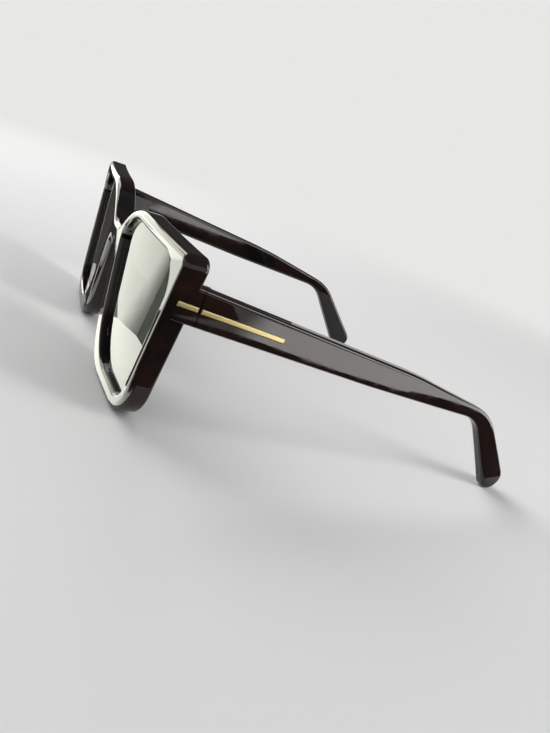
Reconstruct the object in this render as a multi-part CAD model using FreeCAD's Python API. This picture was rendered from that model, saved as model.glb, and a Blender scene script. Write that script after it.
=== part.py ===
import FreeCAD
import Part

import math
import os

from FreeCAD import Vector

# Oversized square sunglasses, open, resting on a table on the rims and the temple tips.
# Millimetres. X runs to the wearer's left, Y to the back, Z up, and the table is z = 0.
# While modelling, y = 0 is the joint between front and temples. At the end every piece
# moves along Y so that the origin lies under the middle of the whole object.

# Front
front_width = 147.2
front_height = 54.2
front_thickness = 6.8
base_curve_radius = 640.0
endpiece_overhang = 1.1
hinge_drop = 13.0
front_edge_radius = 1.8
back_edge_radius = 1.0

# Bridge and nose gap
bridge_bottom = 37.0
bridge_height = 6.0
bridge_flat = 9.0
bridge_top_radius = 7.0
nose_gap_top = 12.4
nose_gap_bottom = 31.0
nose_arch_radius = 5.0

# Outline of a rim, outer corners
brow_start = 20.0
brow_radius = 36.0
brow_corner_radius = 3.0
foot_width = 119.6
foot_outer_radius = 14.0
foot_nasal_radius = 18.0

# Rim widths around the lens opening and the opening's corners
rim_top = 3.5
rim_side = 4.0
rim_bottom = 4.9
rim_nasal = 6.2
opening_nose_radius = 6.0
opening_brow_radius = 24.0
opening_corner_radius = 9.0
opening_foot_radius = 8.0
opening_nasal_radius = 20.0
opening_bevel = 1.0
opening_back_radius = 0.6
rounded_share = 0.95
bevel_share = 0.4

# Lens
lens_recess = 2.0
lens_thickness = 2.0
groove_depth = 1.0
lens_clearance = 0.05

# Temple, measured from the hinge centre along the temple
temple_step = 0.9
temple_thickness = 4.6
temple_top = 5.3
temple_bottom = 5.3
waist_distance = 75.0
waist_top = 3.6
waist_radius = 120.0
belly_distance = 60.0
belly_bottom = 4.8
belly_radius = 120.0
bend_distance = 111.4
bend_top = 0.1
bend_outer_radius = 22.0
bend_lead = 4.9
bend_depth = 3.3
bend_inner_radius = 14.0
tip_length = 35.8
tip_angle = 43.0
tip_width = 9.6
tip_flat = 1.0
tip_curve_start = 85.0
tip_curve_radius = 330.0
temple_edge_radius = 1.1
joint_gap = 0.25

# Endpiece block behind the rim
lug_margin = 0.2
lug_ramp_length = 1.4
lug_ramp_rise = 2.2

# Hinge
hinge_clearance = 0.4
knuckle_count = 5
knuckle_height = 1.5
knuckle_gap = 0.06
knuckle_radius = 1.6
leaf_thickness = 1.1
leaf_margin = 1.4
temple_leaf_length = 12.0
temple_leaf_height = 6.0
screw_radius = 0.7
screw_clearance = 0.05
screw_end = 0.3
screw_head_radius = 1.3
screw_head_height = 0.7
screw_slot_width = 0.35
screw_slot_depth = 0.3
rivet_radius = 0.55
rivet_head_radius = 1.0
rivet_head_height = 0.5
rivet_length = 3.6
rivet_margin = 1.0
rivet_spacing = 4.4

# Core wire inside the temple
core_height = 2.2
core_thickness = 1.1
core_start = 1.5
core_start_drop = 0.5
core_tip_margin = 9.0
core_end_radius = 0.9

# Gold trim bars
trim_height = 1.4
trim_drop = 0.4
trim_thickness = 1.05
trim_inset = 0.8
trim_edge_radius = 0.25
trim_clearance = 0.05
trim_pin_radius = 0.5
trim_pin_cover = 0.4
trim_pin_margin = 1.3
trim_joint_gap = 0.35
temple_trim_length = 25.4
endpiece_trim_margin = 0.15

# Nose pad
pad_height = 17.0
pad_width = 5.6
pad_reach = 6.4
pad_centre = 24.0
pad_flare = 1.6
pad_seat = 1.0
pad_inset = 0.5
pad_tip_share = 0.5
pad_edge_radius = 0.9

# Places that follow from the sizes above
half_width = front_width / 2
bridge_top = bridge_bottom + bridge_height
hinge_height = front_height - hinge_drop
face_sag = base_curve_radius - math.sqrt(base_curve_radius ** 2 - half_width ** 2)
endpiece_depth = front_thickness + endpiece_overhang
front_y = -endpiece_depth - face_sag
curve_centre_y = front_y + base_curve_radius
side_lean = (half_width - foot_width / 2) / front_height
temple_outer_x = half_width - side_lean * hinge_drop + temple_step
temple_inner_x = temple_outer_x - temple_thickness
inner_bend_distance = bend_distance - bend_lead
inner_bend_bottom = bend_top + bend_depth
tip_corner_radius = (tip_width - tip_flat) / 2
lug_reach = endpiece_depth - lug_margin
hinge_x = temple_inner_x - knuckle_radius - hinge_clearance
hinge_y = knuckle_radius + hinge_clearance
hinge_bottom = hinge_height - knuckle_count * knuckle_height / 2
hinge_top = hinge_height + knuckle_count * knuckle_height / 2
leaf_end_x = temple_outer_x - leaf_margin
core_depth = temple_thickness - leaf_thickness - core_thickness
trim_pin_length = core_depth - trim_inset - trim_pin_cover
endpiece_trim_length = lug_reach - lug_ramp_length - trim_joint_gap - endpiece_trim_margin
sweep_depth = 100.0
sweep_start = front_y - 20.0


def in_front(u, v):
    return Vector(u, sweep_start, v)


def in_side(u, v):
    return Vector(0, u, v)


def in_plan(u, v):
    return Vector(u, v, -sweep_depth)


def corner_turns(corners):
    """For each corner its point, the directions in and out of it and the angle between them."""
    points = [Vector(u, v, 0) for u, v, radius in corners]
    turns = []
    for index, point in enumerate(points):
        inward = (point - points[index - 1]).normalize()
        outward = (points[(index + 1) % len(points)] - point).normalize()
        turns.append((point, inward, outward, inward.getAngle(outward)))
    return turns


def fitting_radii(corners, turns):
    """Radii of the corners, made smaller where two arcs would overlap on the edge they share."""
    radii = [radius for u, v, radius in corners]
    reaches = [radius * math.tan(turn[3] / 2) for radius, turn in zip(radii, turns)]
    shares = [1.0] * len(corners)
    for index in range(len(corners)):
        before = index - 1
        length = (turns[index][0] - turns[before][0]).Length
        share = length / max(reaches[before] + reaches[index], length)
        shares[before] = min(shares[before], share)
        shares[index] = min(shares[index], share)
    return [radius * share for radius, share in zip(radii, shares)]


def outline(corners, place):
    """Closed wire through corners (u, v, radius), each rounded by an arc of its radius."""
    starts = []
    arcs = []
    count = len(corners)
    turns = corner_turns(corners)
    for radius, (point, inward, outward, turn) in zip(fitting_radii(corners, turns), turns):
        if radius == 0:
            starts.append((point, point))
            arcs.append(None)
            continue
        reach = radius * math.tan(turn / 2)
        first = point - inward * reach
        last = point + outward * reach
        bisector = (outward - inward).normalize()
        middle = point + bisector * (radius / math.cos(turn / 2) - radius)
        starts.append((first, last))
        arcs.append((first, middle, last))
    edges = []
    for index in range(count):
        if arcs[index]:
            ends = [place(spot.x, spot.y) for spot in arcs[index]]
            edges.append(Part.Arc(*ends).toShape())
        line_from = starts[index][1]
        line_to = starts[(index + 1) % count][0]
        if (line_to - line_from).Length > 1e-6:
            edges.append(Part.makeLine(place(line_from.x, line_from.y), place(line_to.x, line_to.y)))
    return Part.Wire(edges)


def meet(first, second):
    """Crossing point of two lines, each given as two (u, v) points."""
    (a, b), (c, d) = first, second
    along = (b[0] - a[0], b[1] - a[1])
    other = (d[0] - c[0], d[1] - c[1])
    between = (c[0] - a[0], c[1] - a[1])
    crossing = along[0] * other[1] - along[1] * other[0]
    share = (between[0] * other[1] - between[1] * other[0]) / crossing
    return (a[0] + share * along[0], a[1] + share * along[1])


def shifted(line, distance):
    """The line moved to its right by distance, seen along its direction."""
    (a, b) = line
    length = math.hypot(b[0] - a[0], b[1] - a[1])
    step = ((b[1] - a[1]) / length * distance, -(b[0] - a[0]) / length * distance)
    return ((a[0] + step[0], a[1] + step[1]), (b[0] + step[0], b[1] + step[1]))


def rim_points():
    """Sharp corners of the left half of the front, from the bridge round to the nose."""
    lean = (nose_gap_bottom - nose_gap_top) / 2 / bridge_bottom
    return {
        "bridge": (bridge_flat / 2, bridge_top),
        "brow": (brow_start, front_height),
        "corner": (half_width, front_height),
        "foot": (foot_width / 2, 0.0),
        "nasal": (nose_gap_top / 2 + lean * bridge_bottom, 0.0),
        "arch": (nose_gap_top / 2, bridge_bottom),
    }


def front_outline():
    point = rim_points()
    radii = {
        "bridge": bridge_top_radius,
        "brow": brow_radius,
        "corner": brow_corner_radius,
        "foot": foot_outer_radius,
        "nasal": foot_nasal_radius,
        "arch": nose_arch_radius,
    }
    left = [(point[name][0], point[name][1], radii[name]) for name in radii]
    right = [(-x, z, radius) for x, z, radius in reversed(left)]
    return outline(left + right, in_front)


def eye_outline(grow):
    """Lens opening of the left rim, made larger all round by grow."""
    point = rim_points()
    edges = [
        (point["nasal"], point["arch"], rim_nasal),
        (point["bridge"], point["brow"], rim_top),
        (point["brow"], point["corner"], rim_top),
        (point["corner"], point["foot"], rim_side),
        (point["foot"], point["nasal"], rim_bottom),
    ]
    radii = [
        opening_nose_radius,
        opening_brow_radius,
        opening_corner_radius,
        opening_foot_radius,
        opening_nasal_radius,
    ]
    lines = [shifted((start, end), width - grow) for start, end, width in edges]
    corners = []
    for index, radius in enumerate(radii):
        x, z = meet(lines[index], lines[(index + 1) % len(lines)])
        corners.append((x, z, radius + grow))
    return outline(corners, in_front)


def swept_back(wire):
    return Part.Face(wire).extrude(Vector(0, sweep_depth, 0))


def curved_slab(near, far):
    """Space between two depths behind the front face, following its base curve."""
    base = Vector(0, curve_centre_y, -sweep_depth)
    outer = Part.makeCylinder(base_curve_radius - near, 3 * sweep_depth, base)
    inner = Part.makeCylinder(base_curve_radius - far, 3 * sweep_depth, base)
    return outer.cut(inner)


def mirrored(shape):
    return shape.mirror(Vector(0, 0, 0), Vector(1, 0, 0))


def both_sides(shape):
    return (shape, mirrored(shape))


def box(low, high):
    size = high - low
    return Part.makeBox(size.x, size.y, size.z, low)


def samples(edge):
    first, last = edge.FirstParameter, edge.LastParameter
    return [edge.valueAt(first + (last - first) * step / 6) for step in range(7)]


def edges_at(shape, depth, wire):
    """Edges that lie at one depth of the front and on the swept outline of wire."""
    found = []
    for edge in shape.Edges:
        spots = samples(edge)
        radius = base_curve_radius - depth
        level = all(abs(math.hypot(p.x, p.y - curve_centre_y) - radius) < 1e-3 for p in spots)
        if not level:
            continue
        spots = [Part.Vertex(p.x, sweep_start, p.z) for p in spots]
        if all(wire.distToShape(spot)[0] < 1e-3 for spot in spots):
            found.append(edge)
    return found


def front_edge_radii(rim, eye):
    """Radii of the opening's front edge and of the outer one, within the narrowest wall of the rim."""
    wall = rim.distToShape(eye)[0]
    inner = min(opening_bevel, bevel_share * wall)
    return inner, min(front_edge_radius, rounded_share * wall - inner)


def front_plate():
    """Both rims and the bridge, with rounded edges."""
    rim = front_outline()
    left_eye = eye_outline(0)
    right_eye = mirrored(left_eye)
    inner_radius, outer_radius = front_edge_radii(rim, left_eye)
    plate = swept_back(rim).common(curved_slab(0, front_thickness))
    plate = plate.cut(swept_back(left_eye)).cut(swept_back(right_eye))
    for wire in (left_eye, right_eye):
        plate = plate.makeFillet(inner_radius, edges_at(plate, 0, wire))
        plate = plate.makeFillet(opening_back_radius, edges_at(plate, front_thickness, wire))
    plate = plate.makeFillet(outer_radius, edges_at(plate, 0, rim))
    return plate.makeFillet(back_edge_radius, edges_at(plate, front_thickness, rim))


def top_line(distance):
    share = distance / waist_distance
    return temple_top + (waist_top - temple_top) * share


def bottom_line(distance):
    share = distance / belly_distance
    return -temple_bottom - (belly_bottom - temple_bottom) * share


def tip_points():
    """Middle of the ear bend and the two sharp corners of the tip."""
    angle = math.radians(tip_angle)
    along = (math.cos(angle), -math.sin(angle))
    across = (math.sin(angle), math.cos(angle))
    bend = ((bend_distance + inner_bend_distance) / 2, -(bend_top + inner_bend_bottom) / 2)
    end = (bend[0] + tip_length * along[0], bend[1] + tip_length * along[1])
    back = (end[0] + tip_width / 2 * across[0], end[1] + tip_width / 2 * across[1])
    front = (end[0] - tip_width / 2 * across[0], end[1] - tip_width / 2 * across[1])
    return bend, end, back, front


def temple_side():
    """Side outline of a temple, hinge centre at zero."""
    bend, end, back, front = tip_points()
    start = -2 * lug_reach
    corners = [
        (start, top_line(start), 0),
        (waist_distance, waist_top, waist_radius),
        (bend_distance, -bend_top, bend_outer_radius),
        (back[0], back[1], tip_corner_radius),
        (front[0], front[1], tip_corner_radius),
        (inner_bend_distance, -inner_bend_bottom, bend_inner_radius),
        (belly_distance, -belly_bottom, belly_radius),
        (start, bottom_line(start), 0),
    ]
    return outline(corners, in_side)


def resting_angle():
    """Slope of the temples at which the tips reach the table."""
    spots = temple_side().discretize(Number=3000)
    low, high = 0.0, math.radians(30)
    for _ in range(50):
        angle = (low + high) / 2
        lowest = min(p.z * math.cos(angle) - p.y * math.sin(angle) for p in spots)
        if hinge_height + lowest > 0:
            low = angle
        else:
            high = angle
    return angle


droop = resting_angle()


def sloped(shape):
    """A piece modelled along a level temple, set at the slope and height of the temples."""
    shape = shape.copy()
    shape.rotate(Vector(0, 0, 0), Vector(1, 0, 0), -math.degrees(droop))
    shape.translate(Vector(0, 0, hinge_height))
    return shape


def rear_end():
    """Furthest point of the tips along Y."""
    spots = temple_side().discretize(Number=3000)
    return max(p.y * math.cos(droop) + p.z * math.sin(droop) for p in spots)


def plan_band(near, far):
    """Space between two distances from the temple's outer face, with the tip curved inward."""
    centre = Vector(temple_outer_x - tip_curve_radius, tip_curve_start, 0)
    sweep = math.radians(25)
    edges = []
    ends = []
    for distance in (near, far):
        radius = tip_curve_radius - distance
        x = temple_outer_x - distance
        spots = [
            centre + Vector(radius * math.cos(angle), radius * math.sin(angle), 0)
            for angle in (0, sweep / 2, sweep)
        ]
        start = in_plan(x, -4 * lug_reach)
        bent = [in_plan(p.x, p.y) for p in spots]
        edges.append(Part.makeLine(start, bent[0]))
        edges.append(Part.Arc(*bent).toShape())
        ends.append((start, bent[2]))
    edges.append(Part.makeLine(ends[0][0], ends[1][0]))
    edges.append(Part.makeLine(ends[0][1], ends[1][1]))
    wire = Part.Wire(Part.__sortEdges__(edges))
    return Part.Face(wire).extrude(Vector(0, 0, 2 * sweep_depth))


def swept_across(wire):
    """Solid from a side outline, swept over the whole width of the left half."""
    return Part.Face(wire).extrude(Vector(2 * half_width, 0, 0))


def offset_from_outer(point):
    """Distance of a point in from the temple's outer face, as seen from above."""
    if point.y <= tip_curve_start:
        return temple_outer_x - point.x
    centre = Vector(temple_outer_x - tip_curve_radius, tip_curve_start, 0)
    return tip_curve_radius - math.hypot(point.x - centre.x, point.y - centre.y)


def face_edges(blank):
    """Edges around the inner and outer face of a temple, apart from its cut-off start."""
    side = temple_side()
    found = []
    for edge in blank.Edges:
        spots = samples(edge)
        depths = [offset_from_outer(p) for p in spots]
        along_face = max(depths) - min(depths) < 1e-3
        on_outline = all(side.distToShape(Part.Vertex(0, p.y, p.z))[0] < 1e-3 for p in spots)
        if along_face and on_outline and max(p.y for p in spots) > 0:
            found.append(edge)
    return found


def temple_blank():
    blank = swept_across(temple_side()).common(plan_band(0, temple_thickness))
    return blank.makeFillet(temple_edge_radius, face_edges(blank))


def lug():
    """Endpiece block in line with the temple, ramped out of the rim and cut off at the joint."""
    start = -2 * lug_reach
    side = [
        (start, top_line(start), 0),
        (-start, top_line(-start), 0),
        (-start, bottom_line(-start), 0),
        (start, bottom_line(start), 0),
    ]
    plan = [
        (temple_inner_x, -lug_reach, 0),
        (temple_outer_x - lug_ramp_rise, -lug_reach, 0),
        (temple_outer_x, -lug_reach + lug_ramp_length, 0),
        (temple_outer_x, 0, 0),
        (temple_inner_x, 0, 0),
    ]
    block = swept_across(outline(side, in_side))
    block = block.common(plan_band(0, temple_thickness))
    edges = [e for e in block.Edges if abs(samples(e)[0].y - samples(e)[-1].y) > 1e-6]
    block = sloped(block.makeFillet(temple_edge_radius, edges))
    shape = Part.Face(outline(plan, in_plan)).extrude(Vector(0, 0, 2 * sweep_depth))
    return block.common(shape)


def knuckle(index):
    low = hinge_bottom + index * knuckle_height + knuckle_gap / 2
    return low, low + knuckle_height - knuckle_gap


def barrel(index):
    low, high = knuckle(index)
    return Part.makeCylinder(knuckle_radius, high - low, Vector(hinge_x, hinge_y, low))


def bore(index, clearance):
    low, high = knuckle(index)
    return Part.makeCylinder(screw_radius + clearance, high - low, Vector(hinge_x, hinge_y, low))


def hinge_rivets():
    rivets = []
    x = leaf_end_x - rivet_margin
    for side in (-1, 1):
        spot = Vector(x, 0, hinge_height + side * rivet_spacing / 2)
        forward = Vector(0, -1, 0)
        head = Part.makeCone(rivet_head_radius, rivet_radius, rivet_head_height, spot, forward)
        shank = Part.makeCylinder(rivet_radius, rivet_length, spot, forward)
        rivets.append(head.fuse(shank).removeSplitter())
    return Part.makeCompound(rivets)


def front_hinge():
    """Leaf in the back of the endpiece with knuckles 0, 2 and 4."""
    low_x = hinge_x - knuckle_radius
    leaf = box(Vector(low_x, -leaf_thickness, hinge_bottom),
               Vector(leaf_end_x, 0, hinge_top))
    for index in range(0, knuckle_count, 2):
        low, high = knuckle(index)
        arm = box(Vector(low_x, -leaf_thickness, low), Vector(hinge_x + knuckle_radius, hinge_y, high))
        leaf = leaf.fuse(arm).fuse(barrel(index))
        leaf = leaf.cut(bore(index, 0 if index == 0 else screw_clearance))
    return leaf.removeSplitter().cut(hinge_rivets())


def temple_hinge():
    """Leaf in the inner face of the temple with knuckles 1 and 3."""
    outer_x = temple_inner_x + leaf_thickness
    start = hinge_y - knuckle_radius
    half = temple_leaf_height / 2
    leaf = sloped(box(Vector(temple_inner_x, -lug_reach, -half),
                      Vector(outer_x, start + temple_leaf_length, half)))
    leaf = leaf.common(box(Vector(0, start, 0), Vector(2 * half_width, sweep_depth, sweep_depth)))
    indices = range(1, knuckle_count, 2)
    root = box(Vector(temple_inner_x, start, knuckle(indices[0])[0]),
               Vector(outer_x, hinge_y + knuckle_radius, knuckle(indices[-1])[1]))
    leaf = leaf.fuse(root)
    for index in indices:
        low, high = knuckle(index)
        arm = box(Vector(hinge_x, start, low), Vector(outer_x, hinge_y + knuckle_radius, high))
        leaf = leaf.fuse(arm).fuse(barrel(index)).cut(bore(index, screw_clearance))
    return leaf.removeSplitter()


def hinge_screw():
    low = hinge_bottom - screw_end
    top = hinge_top - knuckle_gap / 2
    shaft = Part.makeCylinder(screw_radius, top - low, Vector(hinge_x, hinge_y, low))
    head = Part.makeCylinder(screw_head_radius, screw_head_height, Vector(hinge_x, hinge_y, top))
    slot = box(Vector(hinge_x - screw_head_radius, hinge_y - screw_slot_width / 2,
                      top + screw_head_height - screw_slot_depth),
               Vector(hinge_x + screw_head_radius, hinge_y + screw_slot_width / 2,
                      top + screw_head_height))
    return shaft.fuse(head).removeSplitter().cut(slot)


def temple_core():
    """Flat wire that follows the temple into the tip."""
    bend, end, back, front = tip_points()
    along = (end[0] - bend[0], end[1] - bend[1])
    length = math.hypot(*along)
    share = (length - core_tip_margin) / length
    path = [(core_start, -core_start_drop), bend, (bend[0] + along[0] * share, bend[1] + along[1] * share)]
    half = core_height / 2
    legs = [(path[0], path[1]), (path[1], path[2])]
    lower = [shifted(leg, half) for leg in legs]
    upper = [shifted(leg, -half) for leg in legs]
    inner_bend = meet(lower[0], lower[1])
    outer_bend = meet(upper[0], upper[1])
    corners = [
        (*upper[0][0], 0),
        (*outer_bend, bend_inner_radius + half),
        (*upper[1][1], core_end_radius),
        (*lower[1][1], core_end_radius),
        (*inner_bend, bend_inner_radius - half),
        (*lower[0][0], 0),
    ]
    wire = outline(corners, in_side)
    return sloped(swept_across(wire).common(plan_band(core_depth, core_depth + core_thickness)))


def trim_bar(start, length, clearance):
    """Bar along the outer side with two pins, or with clearance the recess that takes it."""
    floor = temple_outer_x - trim_inset
    half = trim_height / 2 + clearance
    low = Vector(floor, start - clearance, -trim_drop - half)
    bar = box(low, Vector(floor + trim_thickness, start + length + clearance, half - trim_drop))
    if clearance == 0:
        rim = [e for e in bar.Edges if min(p.x for p in samples(e)) > floor + trim_thickness - 1e-6]
        bar = bar.makeFillet(trim_edge_radius, rim)
    for distance in (start + trim_pin_margin, start + length - trim_pin_margin):
        base = Vector(floor - trim_pin_length, distance, -trim_drop)
        pin = Part.makeCylinder(trim_pin_radius + clearance, trim_pin_length, base, Vector(1, 0, 0))
        bar = bar.fuse(pin)
    return sloped(bar.removeSplitter())


def temple_trim(clearance):
    return trim_bar(joint_gap + trim_joint_gap, temple_trim_length, clearance)


def endpiece_trim(clearance):
    return trim_bar(-trim_joint_gap - endpiece_trim_length, endpiece_trim_length, clearance)


def lens():
    plate = curved_slab(lens_recess, lens_recess + lens_thickness)
    return swept_back(eye_outline(groove_depth - lens_clearance)).common(plate)


def lens_space(near):
    """Room within the groove's outline, from a depth of near to just behind the lens."""
    slot = curved_slab(near, lens_recess + lens_thickness + lens_clearance)
    return swept_back(eye_outline(groove_depth)).common(slot)


def nose_pad_blank():
    """Rounded fin on the back of the rim beside the nose, flaring outward to the back."""
    slope = (nose_gap_bottom - nose_gap_top) / 2 / bridge_bottom
    lean = math.atan(slope)
    tall = Vector(-math.sin(lean), 0, math.cos(lean))
    wide = Vector(math.cos(lean), 0, math.sin(lean))
    nasal_x = nose_gap_top / 2 + slope * (bridge_bottom - pad_centre)
    back_y = curve_centre_y - math.sqrt((base_curve_radius - front_thickness) ** 2 - nasal_x ** 2)
    wires = []
    for share in (-pad_seat / pad_reach, 0.25, 0.6, 1.0):
        shrink = 1 - (1 - pad_tip_share) * max(share, 0) ** 1.5
        flare = pad_width / 2 + pad_inset + pad_flare * max(share, 0)
        centre = Vector(nasal_x, back_y + pad_reach * share, pad_centre) + wide * flare
        ring = Part.Ellipse(centre + tall * (pad_height / 2 * shrink),
                            centre + wide * (pad_width / 2 * shrink), centre)
        wires.append(Part.Wire(ring.toShape()))
    pad = Part.makeLoft(wires, True, False)
    tip = [e for e in pad.Edges if min(p.y for p in samples(e)) > back_y + pad_reach - 1e-3]
    tip_half_width = pad_width / 2 * pad_tip_share
    return pad.makeFillet(min(pad_edge_radius, 0.65 * tip_half_width), tip)


def front():
    """Plate and endpieces in one, with the seats of all that is let into them."""
    body = front_plate()
    for block in both_sides(lug()):
        body = body.fuse(block)
    body = body.removeSplitter()
    hollows = [
        swept_back(eye_outline(0)),
        lens_space(lens_recess - lens_clearance),
        front_hinge(),
        hinge_rivets(),
        endpiece_trim(trim_clearance),
    ]
    for hollow in hollows:
        for cutter in both_sides(hollow):
            body = body.cut(cutter)
    return body


def temple():
    behind_joint = box(Vector(0, joint_gap, -sweep_depth),
                       Vector(sweep_depth, 2 * sweep_depth, sweep_depth))
    body = sloped(temple_blank()).common(behind_joint)
    for piece in (temple_hinge(), temple_core(), temple_trim(trim_clearance)):
        body = body.cut(piece)
    return body


def main():
    os.makedirs("parts", exist_ok=True)
    body = front()
    left = {
        "lens": lens(),
        "nose_pad": nose_pad_blank().cut(body).cut(lens_space(0)),
        "endpiece_trim": endpiece_trim(0),
        "front_hinge": front_hinge(),
        "hinge_rivets": hinge_rivets(),
        "hinge_screw": hinge_screw(),
        "temple": temple(),
        "temple_hinge": temple_hinge(),
        "temple_core": temple_core(),
        "temple_trim": temple_trim(0),
    }
    nodes = {"frame_front": body}
    for name, shape in left.items():
        nodes[name + "_left"], nodes[name + "_right"] = both_sides(shape)
    shift = Vector(0, -(front_y + rear_end()) / 2, 0)
    for name, shape in nodes.items():
        placed = shape.copy()
        placed.translate(shift)
        placed.exportStep("parts/" + name + ".step")
        print(name, placed.isValid(), len(placed.Solids), round(placed.Volume, 2))
    print("hinge", hinge_x, hinge_y + shift.y, hinge_height)
    print("slope", math.degrees(droop), "shift", shift.y)


main()
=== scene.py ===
import bpy
from bpy.props import FloatProperty, FloatVectorProperty, PointerProperty
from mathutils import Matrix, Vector


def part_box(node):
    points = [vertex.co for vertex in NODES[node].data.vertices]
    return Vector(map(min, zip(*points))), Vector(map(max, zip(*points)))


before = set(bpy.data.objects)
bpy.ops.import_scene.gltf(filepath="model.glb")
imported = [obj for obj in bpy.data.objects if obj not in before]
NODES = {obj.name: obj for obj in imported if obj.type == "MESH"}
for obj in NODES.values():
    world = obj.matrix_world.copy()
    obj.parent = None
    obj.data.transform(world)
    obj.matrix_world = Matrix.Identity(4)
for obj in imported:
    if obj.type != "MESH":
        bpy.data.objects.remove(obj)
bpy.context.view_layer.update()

bl_info = {
    "name": "Oversized square sunglasses",
    "version": (1, 0, 0),
    "blender": (4, 5, 0),
    "location": "View3D > Sidebar > Sunglasses",
    "description": "Finishes the sunglasses piece by piece and sets up the studio around them",
    "category": "Object",
}

SIDES = ("left", "right")
PER_METRE = 1000.0
WHOLE = (0.0, 1.0)
BLACK = (0.0, 0.0, 0.0)

# Finishes. A stretch is the length of a pattern along each axis, in millimetres.
ACETATE_IOR = 1.47
HAIRLINE_STRETCH = (0.16, 9.0, 0.16)
HAIRLINE_ROUGHNESS = 0.06
HAIRLINE_DEPTH = 0.25
LENS_IOR = 1.5
BRUSHED_STRETCH = (0.05, 6.0, 0.05)
BRUSHED_PALENESS = 1.12
BRUSHED_ROUGHNESS = 0.16
GRAIN_SHADE = 0.7
GRAIN_ROUGHNESS = 0.18

# Studio. Lengths are in metres, and the sensor is in millimetres.
FLOOR_REACH = 6.0
FLOOR_PALENESS = 1.02
FLOOR_ROUGHNESS = 0.9
HORIZON_RISE = (0.29, 0.50)
CARD_LIFT = 0.0006
FADED_SHARE = 0.2
CAMERA_SENSOR = 36.0
CAMERA_CLIP = 0.005


def on_floor(*outline):
    """Corners of an outline on the floor, from its pairs of x and y."""
    return tuple((x, y, 0) for x, y in outline)


# Edges that two studio cards share, as pairs of x and y in millimetres. These cards paint reflections into
# the pieces.
WEDGE_NEAR_EDGE = ((-7, -95), (-65, -126.5), (-118, -157), (-150, -176))
WEDGE_LOW_EDGE = ((-7, -95), (7, -95.6), (14, -91.7), (37, -79))
WEDGE_FRONT_EDGE = (
    (39.5, -84), (8, -101.5), (-9, -112), (-35, -126.7), (-46, -128), (-56, -130), (-96.5, -152.5),
    (-117, -164), (-139, -176),
)
SIDE_EDGE = (
    (190, -30), (184.5, -2), (179, 14), (169, 36), (164, 49), (160.5, 64), (157, 77), (156.5, 85),
    (159, 88), (159, 102), (156.5, 109), (153, 116), (149, 123.5), (144, 130), (138, 135), (131, 139),
)
SIDE_END = ((270, 20), (207, 10), (198, 0))

# Outlines of the cards that lie on the floor, in millimetres. Seen in gloss alone, the bright ones paint
# reflections and highlights into the rims, the lenses and the temples.
NEAR_CARD = on_floor(
    (-500, -108), (-215, -116), (-103, -104), (-42, -91), (-25, -88), *WEDGE_NEAR_EDGE, (-500, -176),
)
LOW_CARD = on_floor(
    (-25, -88), (-26, -84), (-20, -76), (-5, -73.6), (72, -70.9), *reversed(WEDGE_LOW_EDGE),
)
FRONT_CARD = on_floor(
    *reversed(WEDGE_FRONT_EDGE), (37, -79), (72, -70.9), (66, -79), (48, -104), (30, -180),
    (-40, -300), (-150, -240),
)
BAND_CARD = on_floor((-500, -176), (-139, -176), (-150, -240), (-500, -640))
# Wedge card: a dim sheet seen in gloss alone that paints a dark wedge reflection into the near lens.
WEDGE_CARD = on_floor(*WEDGE_LOW_EDGE, *WEDGE_FRONT_EDGE, *reversed(WEDGE_NEAR_EDGE[1:]))
# Dark card: a sheet seen in gloss alone that paints a dark reflection, painted shade, into the rims.
DARK_CARD = on_floor(
    (-26, -80), (-42, -90), (-100, -103), (-215, -115), (-500, -107), (-560, -107), (-560, -10),
    (-110, -52), (-100, -75), (-26, -75),
)
# Dark side: a sheet seen in gloss alone that paints a dark reflection, painted shade, into the side walls,
# the lugs and the lower part of the temples.
DARK_SIDE = on_floor(
    (73, -72), (73, 330), (131, 330), *reversed(SIDE_EDGE), *reversed(SIDE_END), (270, -260),
    (20, -260), (20, -215), (35, -180), (52, -112), (68, -79),
)
# Side card: it paints the reflection that greys the temple's outer face and brightens the gold bars.
SIDE_CARD = on_floor(*SIDE_EDGE, (131, 600), (700, 600), (420, 160), (270, 70), *SIDE_END)

# Pairs of points on the floor between which a card, and so its painted reflection, fades in.
NEAR_FADE = on_floor((-7, -95), (-15, -81))
FRONT_FADE = on_floor((42, -182), (10, -126))
SIDE_FADE = on_floor((207, 10), (198, 24))

# Outlines of the cards that stand, in millimetres. Seen in gloss alone, the bright ones paint highlights
# into the rims, the brow and the tops of the temples.
STANDING_CARD = ((-500, -640, 0), (-500, -85, 0), (-500, -85, 250), (-500, -640, 250))
BROW_CARD = (
    (-500, -275, 264), (-500, -150, 264), (-500, -150, 330), (-500, -180, 560), (-500, -640, 560),
    (-500, -640, 330), (-500, -275, 330),
)
# Dark screen: a sheet seen in gloss alone that paints a dark reflection, painted shade, over the top
# faces.
DARK_SCREEN = ((-700, -60, 70), (-700, 420, 70), (-700, 420, 1100), (-700, -60, 1100))
BACK_CARD = ((40, 600, 0), (700, 600, 0), (700, 600, 330), (40, 600, 330))


def colour_property(name, description, default):
    return FloatVectorProperty(name=name, description=description, default=default,
                               subtype="COLOR", min=0.0, max=1.0)


def share_property(name, description, default):
    return FloatProperty(name=name, description=description, default=default,
                         subtype="FACTOR", min=0.0, max=1.0)


def power_property(name, description, default):
    return FloatProperty(name=name, description=description, default=default, unit="POWER")


def glow_property(name, description, default):
    return FloatProperty(name=name, description=description, default=default)


class AcetateFinish(bpy.types.PropertyGroup):
    """Polished acetate of the front, the pads and the temples."""

    colour: colour_property("Colour", "Body colour of the acetate", (0.004, 0.0035, 0.0035))
    undertone: colour_property("Undertone", "Brown that clouds the black", (0.024, 0.009, 0.006))
    polish: share_property("Polish", "Roughness of the best polished spots", 0.02)
    handling: share_property("Handling", "Roughness of the spots dulled by handling", 0.07)
    pad_dulling: share_property("Pad dulling", "Extra roughness of the nose pads", 0.10)


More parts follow.
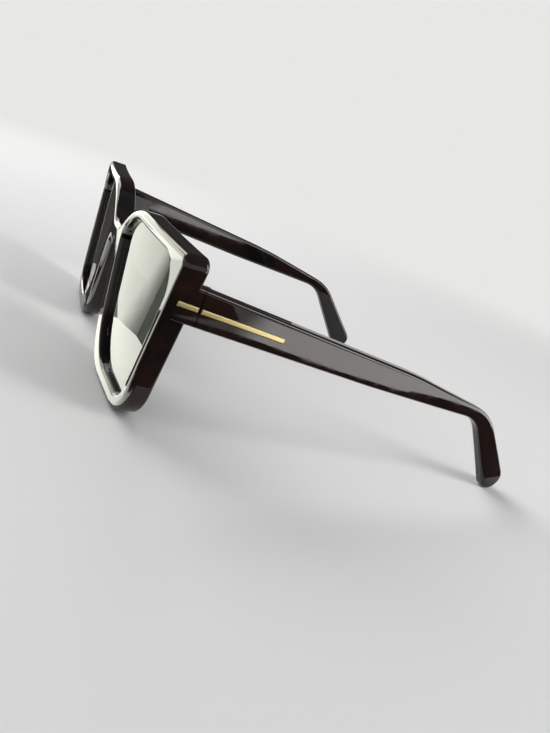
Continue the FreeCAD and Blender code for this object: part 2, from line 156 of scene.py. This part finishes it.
class LensFinish(bpy.types.PropertyGroup):
    """Tinted lenses, darker at the brow."""

    brow_tint: colour_property("Brow tint", "Tint along the top of the lens", (0.055, 0.060, 0.048))
    cheek_tint: colour_property("Cheek tint", "Tint along the bottom of the lens", (0.16, 0.17, 0.145))
    smudge: share_property("Smudge", "Roughness where fingers touched the lens", 0.05)


class MetalFinish(bpy.types.PropertyGroup):
    """Gold trim bars and steel hinge pieces."""

    gold: colour_property("Gold", "Colour of the trim bars", (0.55, 0.45, 0.215))
    gold_polish: share_property("Gold polish", "Least roughness of the brushed bars", 0.23)
    steel: colour_property("Steel", "Colour of the hinges, screws, rivets and cores", (0.13, 0.13, 0.135))
    steel_polish: share_property("Steel polish", "Least roughness of the satin steel", 0.24)


class StudioSettings(bpy.types.PropertyGroup):
    """Floor, room, lamps, cards that paint reflections, and camera."""

    floor: colour_property("Floor", "Colour of the floor and of the horizon", (0.80, 0.80, 0.79))
    ceiling: colour_property("Ceiling", "Colour of the room overhead", (0.16, 0.16, 0.17))
    lit_floor: FloatVectorProperty(
        name="Lit floor",
        description="Distances between which the lit floor goes over into the horizon",
        default=(0.22, 0.70),
        size=2,
        unit="LENGTH",
    )
    side_power: power_property("Side lamp", "Power of the soft lamp on the far side", 10.5)
    overhead_power: power_property("Overhead strip", "Power of the narrow lamp overhead", 2.0)
    # Glows of the bright cards, which paint reflections and highlights into the pieces.
    near_glow: glow_property("Near card", "Glow of the card before the lenses", 2.9)
    low_glow: glow_property("Low card", "Glow of the card at the foot of the rims", 3.5)
    front_glow: glow_property("Front card", "Glow of the card further before the rims", 4.4)
    band_glow: glow_property("Band card", "Glow of the card that the brow shows", 6.0)
    standing_glow: glow_property("Standing cards", "Glow of the cards that stand on the far side", 4.6)
    # The dark cards paint dark reflections, painted shade, into the pieces.
    dark_reflection_glow: glow_property("Dark cards", "Glow of the dark cards around the pieces", 0.06)
    # The wedge card paints a dark wedge reflection, painted shade, into the near lens.
    wedge_reflection_glow: glow_property("Wedge card", "Glow of the dim wedge before the near lens", 0.14)
    # The side and back cards paint the grey reflection on the temples and the highlight along their tops.
    side_glow: glow_property("Side cards", "Glow of the cards beside and behind the temple", 4.9)
    # Tints of the painted reflections.
    card_tint: colour_property("Card tint", "Tint of the cards that the front mirrors", (0.985, 1.0, 0.89))
    side_tint: colour_property("Side tint", "Tint of the side cards and the dark ones", (1.0, 0.97, 0.925))
    camera_place: FloatVectorProperty(
        name="Camera place",
        description="Place of the camera",
        default=(0.219657, -0.114519, 0.085301),
        subtype="TRANSLATION",
        unit="LENGTH",
    )
    camera_turn: FloatVectorProperty(
        name="Camera turn",
        description="Rotation of the camera",
        default=(1.234396, -0.359067, 1.199390),
        subtype="EULER",
        unit="ROTATION",
    )
    camera_lens: FloatProperty(
        name="Camera lens",
        description="Focal length on a 36 mm sensor",
        default=31.508,
        unit="CAMERA",
    )


def add_node(tree, kind, inputs=None, **settings):
    """A node with its settings, and with the given inputs set to constants."""
    made = tree.nodes.new(kind)
    for name, value in settings.items():
        setattr(made, name, value)
    for name, value in (inputs or {}).items():
        made.inputs[name].default_value = value
    return made


def start_material(name, sockets):
    """A material whose principled shader has the given constant sockets."""
    material = bpy.data.materials.new(name)
    material.use_nodes = True
    tree = material.node_tree
    shader = tree.nodes["Principled BSDF"]
    for socket, value in sockets.items():
        shader.inputs[socket].default_value = value
    return material, tree, shader


def solid_colour(colour):
    return (*colour, 1.0)


def millimetre_coordinates(tree, stretch=(1.0, 1.0, 1.0)):
    """Object coordinates in millimetres, stretched along the axes where a pattern runs."""
    place = add_node(tree, "ShaderNodeTexCoord")
    scale = [PER_METRE / value for value in stretch]
    mapping = add_node(tree, "ShaderNodeMapping", {"Scale": scale})
    tree.links.new(place.outputs["Object"], mapping.inputs["Vector"])
    return mapping.outputs["Vector"]


def noise(tree, coordinates, scale, detail, roughness):
    made = add_node(tree, "ShaderNodeTexNoise", {"Scale": scale, "Detail": detail, "Roughness": roughness})
    tree.links.new(coordinates, made.inputs["Vector"])
    return made.outputs["Fac"]


def ranged(tree, value, source, target):
    """A value mapped from one range to another and held within it."""
    made = add_node(tree, "ShaderNodeMapRange", {
        "From Min": source[0],
        "From Max": source[1],
        "To Min": target[0],
        "To Max": target[1],
    })
    tree.links.new(value, made.inputs["Value"])
    return made.outputs["Result"]


def blended(tree, factor, first, second):
    made = add_node(tree, "ShaderNodeMix", data_type="RGBA")
    made.inputs["A"].default_value = solid_colour(first)
    made.inputs["B"].default_value = solid_colour(second)
    tree.links.new(factor, made.inputs["Factor"])
    return made.outputs["Result"]


def combined(tree, operation, *values):
    """Sockets and constants put together by a step of arithmetic."""
    made = add_node(tree, "ShaderNodeMath", operation=operation)
    for socket, value in zip(made.inputs, values):
        if isinstance(value, float):
            socket.default_value = value
        else:
            tree.links.new(value, socket)
    return made.outputs["Value"]


def bumped(tree, shader, height, strength, depth_mm):
    bump = add_node(tree, "ShaderNodeBump", {"Strength": strength, "Distance": depth_mm / PER_METRE})
    tree.links.new(height, bump.inputs["Height"])
    tree.links.new(bump.outputs["Normal"], shader.inputs["Normal"])


def acetate_material(name, finish, extra_roughness):
    """Black acetate clouded with brown, polished, with hairlines and handling marks."""
    material, tree, shader = start_material(name, {"IOR": ACETATE_IOR})
    place = millimetre_coordinates(tree)
    clouds = noise(tree, place, scale=0.05, detail=4.0, roughness=0.6)
    clouded = ranged(tree, clouds, source=(0.42, 0.72), target=WHOLE)
    tree.links.new(blended(tree, clouded, finish.colour, finish.undertone), shader.inputs["Base Color"])
    marks = noise(tree, place, scale=0.22, detail=5.0, roughness=0.6)
    handled = ranged(tree, marks, source=(0.40, 0.70),
                     target=(finish.polish + extra_roughness, finish.handling + extra_roughness))
    along = millimetre_coordinates(tree, HAIRLINE_STRETCH)
    hairs = noise(tree, along, scale=1.0, detail=2.0, roughness=0.5)
    hairlines = ranged(tree, hairs, source=(0.66, 0.74), target=WHOLE)
    rough = combined(tree, "MULTIPLY_ADD", hairlines, HAIRLINE_ROUGHNESS, handled)
    tree.links.new(rough, shader.inputs["Roughness"])
    ripple = noise(tree, place, scale=0.35, detail=2.0, roughness=0.4)
    scratches = combined(tree, "MULTIPLY", hairlines, HAIRLINE_DEPTH)
    bumped(tree, shader, combined(tree, "SUBTRACT", ripple, scratches), strength=0.06, depth_mm=0.02)
    return material


def lens_material(finish):
    """Tinted lens, graded from brow to cheek, with faint smudges."""
    low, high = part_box("lens_left")
    material, tree, shader = start_material("tinted_lens", {
        "IOR": LENS_IOR,
        "Transmission Weight": 1.0,
    })
    place = millimetre_coordinates(tree)
    parts = add_node(tree, "ShaderNodeSeparateXYZ")
    tree.links.new(place, parts.inputs["Vector"])
    brow_to_cheek = (high.z * PER_METRE, low.z * PER_METRE)
    grade = ranged(tree, parts.outputs["Z"], source=brow_to_cheek, target=WHOLE)
    tree.links.new(blended(tree, grade, finish.brow_tint, finish.cheek_tint), shader.inputs["Base Color"])
    touches = noise(tree, place, scale=0.09, detail=4.0, roughness=0.6)
    smudges = ranged(tree, touches, source=(0.45, 0.75), target=(0.0, finish.smudge))
    tree.links.new(smudges, shader.inputs["Roughness"])
    return material


def gold_material(finish):
    """Gold trim with brushed lines along the bar."""
    material, tree, shader = start_material("brushed_gold", {"Metallic": 1.0})
    along = millimetre_coordinates(tree, BRUSHED_STRETCH)
    lines = noise(tree, along, scale=1.0, detail=3.0, roughness=0.6)
    pale = [min(1.0, value * BRUSHED_PALENESS) for value in finish.gold]
    tree.links.new(blended(tree, lines, finish.gold, pale), shader.inputs["Base Color"])
    rough = ranged(tree, lines, source=(0.3, 0.7),
                   target=(finish.gold_polish, finish.gold_polish + BRUSHED_ROUGHNESS))
    tree.links.new(rough, shader.inputs["Roughness"])
    bumped(tree, shader, lines, strength=0.15, depth_mm=0.01)
    return material


def steel_material(finish):
    """Satin steel of the hinge pieces and the core wires."""
    material, tree, shader = start_material("satin_steel", {"Metallic": 1.0})
    grain = noise(tree, millimetre_coordinates(tree), scale=4.0, detail=4.0, roughness=0.6)
    dark = [value * GRAIN_SHADE for value in finish.steel]
    tree.links.new(blended(tree, grain, dark, finish.steel), shader.inputs["Base Color"])
    rough = ranged(tree, grain, source=(0.3, 0.7),
                   target=(finish.steel_polish, finish.steel_polish + GRAIN_ROUGHNESS))
    tree.links.new(rough, shader.inputs["Roughness"])
    bumped(tree, shader, grain, strength=0.10, depth_mm=0.02)
    return material


def dress(material, *pieces):
    """Puts one material on CAD nodes, both sides where a piece has two."""
    for piece in pieces:
        names = [piece] if piece in NODES else [f"{piece}_{side}" for side in SIDES]
        for name in names:
            slots = NODES[name].data.materials
            slots.clear()
            slots.append(material)


class SUNGLASSES_OT_front(bpy.types.Operator):
    """Give the front its polished acetate"""

    bl_idname = "sunglasses.front"
    bl_label = "Finish the front"

    def execute(self, context):
        dress(acetate_material("front_acetate", context.scene.sunglasses_acetate, 0.0), "frame_front")
        return {"FINISHED"}


class SUNGLASSES_OT_pads(bpy.types.Operator):
    """Give the nose pads their worn acetate"""

    bl_idname = "sunglasses.pads"
    bl_label = "Finish the nose pads"

    def execute(self, context):
        finish = context.scene.sunglasses_acetate
        dress(acetate_material("pad_acetate", finish, finish.pad_dulling), "nose_pad")
        return {"FINISHED"}


class SUNGLASSES_OT_temples(bpy.types.Operator):
    """Give the temples their polished acetate"""

    bl_idname = "sunglasses.temples"
    bl_label = "Finish the temples"

    def execute(self, context):
        dress(acetate_material("temple_acetate", context.scene.sunglasses_acetate, 0.0), "temple")
        return {"FINISHED"}


class SUNGLASSES_OT_lenses(bpy.types.Operator):
    """Give the lenses their graded tint"""

    bl_idname = "sunglasses.lenses"
    bl_label = "Finish the lenses"

    def execute(self, context):
        dress(lens_material(context.scene.sunglasses_lens), "lens")
        return {"FINISHED"}


class SUNGLASSES_OT_trim(bpy.types.Operator):
    """Give the trim bars their brushed gold"""

    bl_idname = "sunglasses.trim"
    bl_label = "Finish the trim bars"

    def execute(self, context):
        dress(gold_material(context.scene.sunglasses_metal), "endpiece_trim", "temple_trim")
        return {"FINISHED"}


class SUNGLASSES_OT_hinges(bpy.types.Operator):
    """Give the hinges, screws, rivets and core wires their steel"""

    bl_idname = "sunglasses.hinges"
    bl_label = "Finish the hinges"

    def execute(self, context):
        steel = steel_material(context.scene.sunglasses_metal)
        dress(steel, "front_hinge", "temple_hinge", "hinge_screw", "hinge_rivets", "temple_core")
        return {"FINISHED"}


def floor_material(studio):
    """Pale paper that is lit near the object and glows like the horizon further out."""
    material, tree, shader = start_material("floor_paper", {
        "Roughness": FLOOR_ROUGHNESS,
        "Specular IOR Level": 0.0,
    })
    place = millimetre_coordinates(tree)
    tone = noise(tree, place, scale=0.01, detail=2.0, roughness=0.5)
    paler = [min(1.0, value * FLOOR_PALENESS) for value in studio.floor]
    tree.links.new(blended(tree, tone, studio.floor, paler), shader.inputs["Base Color"])
    distance = add_node(tree, "ShaderNodeVectorMath", operation="LENGTH")
    tree.links.new(place, distance.inputs[0])
    lit = [length * PER_METRE for length in studio.lit_floor]
    far = ranged(tree, distance.outputs["Value"], source=lit, target=WHOLE)
    far.node.interpolation_type = "SMOOTHSTEP"
    rays = add_node(tree, "ShaderNodeLightPath").outputs
    seen = combined(tree, "MAXIMUM", rays["Is Camera Ray"], rays["Is Glossy Ray"])
    seen = combined(tree, "MAXIMUM", seen, rays["Is Transmission Ray"])
    backdrop = add_node(tree, "ShaderNodeEmission", {"Color": solid_colour(studio.floor)})
    mixed = add_node(tree, "ShaderNodeMixShader")
    tree.links.new(combined(tree, "MULTIPLY", far, seen), mixed.inputs[0])
    tree.links.new(shader.outputs[0], mixed.inputs[1])
    tree.links.new(backdrop.outputs[0], mixed.inputs[2])
    tree.links.new(mixed.outputs[0], tree.nodes["Material Output"].inputs["Surface"])
    return material


def add_floor(studio):
    """Wide floor that reaches the horizon."""
    corners = [
        (-FLOOR_REACH, -FLOOR_REACH, 0),
        (FLOOR_REACH, -FLOOR_REACH, 0),
        (FLOOR_REACH, FLOOR_REACH, 0),
        (-FLOOR_REACH, FLOOR_REACH, 0),
    ]
    mesh = bpy.data.meshes.new("floor")
    mesh.from_pydata(corners, [], [range(len(corners))])
    mesh.materials.append(floor_material(studio))
    floor = bpy.data.objects.new("floor", mesh)
    bpy.context.scene.collection.objects.link(floor)


def add_room(studio):
    """World that is pale at the horizon and darker overhead."""
    world = bpy.data.worlds.new("studio")
    bpy.context.scene.world = world
    world.use_nodes = True
    tree = world.node_tree
    direction = add_node(tree, "ShaderNodeTexCoord")
    parts = add_node(tree, "ShaderNodeSeparateXYZ")
    tree.links.new(direction.outputs["Generated"], parts.inputs["Vector"])
    height = ranged(tree, parts.outputs["Z"], source=HORIZON_RISE, target=WHOLE)
    colour = blended(tree, height, studio.floor, studio.ceiling)
    tree.links.new(colour, tree.nodes["Background"].inputs["Color"])


def add_lamp(name, place, aim, size, power, mirrored):
    """Area lamp out of the camera's sight. The pieces mirror it only where that is asked for."""
    data = bpy.data.lights.new(name, "AREA")
    data.shape = "RECTANGLE"
    data.size, data.size_y = size
    data.energy = power
    lamp = bpy.data.objects.new(name, data)
    lamp.location = place
    lamp.rotation_euler = (Vector(aim) - Vector(place)).to_track_quat("-Z", "Y").to_euler()
    lamp.visible_camera = False
    lamp.visible_glossy = mirrored
    bpy.context.scene.collection.objects.link(lamp)


def reflection_card_material(name, tint, glow, fade):
    """Plain glow of a card that paints a reflection, which may fade in between two points."""
    material, tree, shader = start_material(name, {
        "Base Color": solid_colour(BLACK),
        "Specular IOR Level": 0.0,
        "Emission Color": solid_colour(tint),
        "Emission Strength": glow,
    })
    if fade:
        first, last = (Vector(point) for point in fade)
        along = (last - first).normalized()
        measure = add_node(tree, "ShaderNodeVectorMath", operation="DOT_PRODUCT")
        tree.links.new(millimetre_coordinates(tree), measure.inputs[0])
        measure.inputs[1].default_value = along
        rise = ranged(tree, measure.outputs["Value"], source=(first.dot(along), last.dot(along)),
                      target=(FADED_SHARE * glow, glow))
        rise.node.interpolation_type = "SMOOTHSTEP"
        tree.links.new(rise, shader.inputs["Emission Strength"])
    return material


def add_reflection_card(name, corners, tint, glow, fade=None):
    """Card that shows in the gloss of the pieces alone: a sheet that paints a reflection and lights
    nothing.
    """
    mesh = bpy.data.meshes.new(name)
    mesh.from_pydata([Vector(corner) / PER_METRE for corner in corners], [], [range(len(corners))])
    mesh.materials.append(reflection_card_material(name, tint, glow, fade))
    card = bpy.data.objects.new(name, mesh)
    card.location.z = CARD_LIFT
    for ray in ("camera", "diffuse", "transmission", "volume_scatter", "shadow"):
        setattr(card, "visible_" + ray, False)
    bpy.context.scene.collection.objects.link(card)


def add_camera(studio):
    data = bpy.data.cameras.new("camera")
    data.lens = studio.camera_lens
    data.sensor_width = CAMERA_SENSOR
    data.clip_start = CAMERA_CLIP
    camera = bpy.data.objects.new("camera", data)
    camera.location = studio.camera_place
    camera.rotation_euler = studio.camera_turn
    bpy.context.scene.collection.objects.link(camera)
    bpy.context.scene.camera = camera


class SUNGLASSES_OT_stage(bpy.types.Operator):
    """Set up the floor, the room, the lamps, the cards that paint reflections and the camera"""

    bl_idname = "sunglasses.stage"
    bl_label = "Set up the studio"

    def execute(self, context):
        studio = context.scene.sunglasses_studio
        context.scene.view_settings.view_transform = "Standard"
        add_floor(studio)
        add_room(studio)
        add_lamp("side_lamp", place=(-0.80, -0.35, 0.62), aim=(0.0, 0.0, 0.03), size=(1.2, 0.8),
                 power=studio.side_power, mirrored=False)
        add_lamp("overhead_strip", place=(0.42, 0.36, 0.44), aim=(0.06, 0.0, 0.03), size=(0.16, 0.6),
                 power=studio.overhead_power, mirrored=True)
        # Cards seen in gloss alone: the bright ones paint reflections and highlights, and the dark ones
        # and the wedge paint dark reflections.
        add_reflection_card("near_card", NEAR_CARD, studio.card_tint, studio.near_glow, NEAR_FADE)
        add_reflection_card("low_card", LOW_CARD, studio.card_tint, studio.low_glow)
        add_reflection_card("front_card", FRONT_CARD, studio.card_tint, studio.front_glow, FRONT_FADE)
        add_reflection_card("band_card", BAND_CARD, studio.card_tint, studio.band_glow)
        add_reflection_card("standing_card", STANDING_CARD, studio.card_tint, studio.standing_glow)
        add_reflection_card("brow_card", BROW_CARD, studio.card_tint, studio.standing_glow)
        add_reflection_card("dark_card", DARK_CARD, studio.side_tint, studio.dark_reflection_glow)
        add_reflection_card("dark_screen", DARK_SCREEN, studio.side_tint, studio.dark_reflection_glow)
        add_reflection_card("wedge_card", WEDGE_CARD, studio.card_tint, studio.wedge_reflection_glow)
        add_reflection_card("dark_side", DARK_SIDE, studio.side_tint, studio.dark_reflection_glow)
        add_reflection_card("side_card", SIDE_CARD, studio.side_tint, studio.side_glow, SIDE_FADE)
        add_reflection_card("back_card", BACK_CARD, studio.side_tint, studio.side_glow)
        add_camera(studio)
        return {"FINISHED"}


class SUNGLASSES_PT_panel(bpy.types.Panel):
    """Steps that finish the sunglasses, in order"""

    bl_idname = "SUNGLASSES_PT_panel"
    bl_label = "Sunglasses"
    bl_space_type = "VIEW_3D"
    bl_region_type = "UI"
    bl_category = "Sunglasses"

    def draw(self, context):
        for step in STEPS:
            self.layout.operator(step.bl_idname)
        for group in PROPERTY_GROUPS:
            settings = getattr(context.scene, group)
            for name in settings.bl_rna.properties.keys():
                if name not in ("rna_type", "name"):
                    self.layout.prop(settings, name)


STEPS = (
    SUNGLASSES_OT_front,
    SUNGLASSES_OT_pads,
    SUNGLASSES_OT_temples,
    SUNGLASSES_OT_lenses,
    SUNGLASSES_OT_trim,
    SUNGLASSES_OT_hinges,
    SUNGLASSES_OT_stage,
)
PROPERTY_GROUPS = {
    "sunglasses_acetate": AcetateFinish,
    "sunglasses_lens": LensFinish,
    "sunglasses_metal": MetalFinish,
    "sunglasses_studio": StudioSettings,
}


def register():
    for group in PROPERTY_GROUPS.values():
        bpy.utils.register_class(group)
    for name, group in PROPERTY_GROUPS.items():
        setattr(bpy.types.Scene, name, PointerProperty(type=group))
    for step in STEPS:
        bpy.utils.register_class(step)
    bpy.utils.register_class(SUNGLASSES_PT_panel)


def unregister():
    bpy.utils.unregister_class(SUNGLASSES_PT_panel)
    for step in reversed(STEPS):
        bpy.utils.unregister_class(step)
    for name in PROPERTY_GROUPS:
        delattr(bpy.types.Scene, name)
    for group in reversed(PROPERTY_GROUPS.values()):
        bpy.utils.unregister_class(group)


def main():
    register()
    bpy.ops.sunglasses.front()
    bpy.ops.sunglasses.pads()
    bpy.ops.sunglasses.temples()
    bpy.ops.sunglasses.lenses()
    bpy.ops.sunglasses.trim()
    bpy.ops.sunglasses.hinges()
    bpy.ops.sunglasses.stage()


if __name__ == "__main__":
    main()
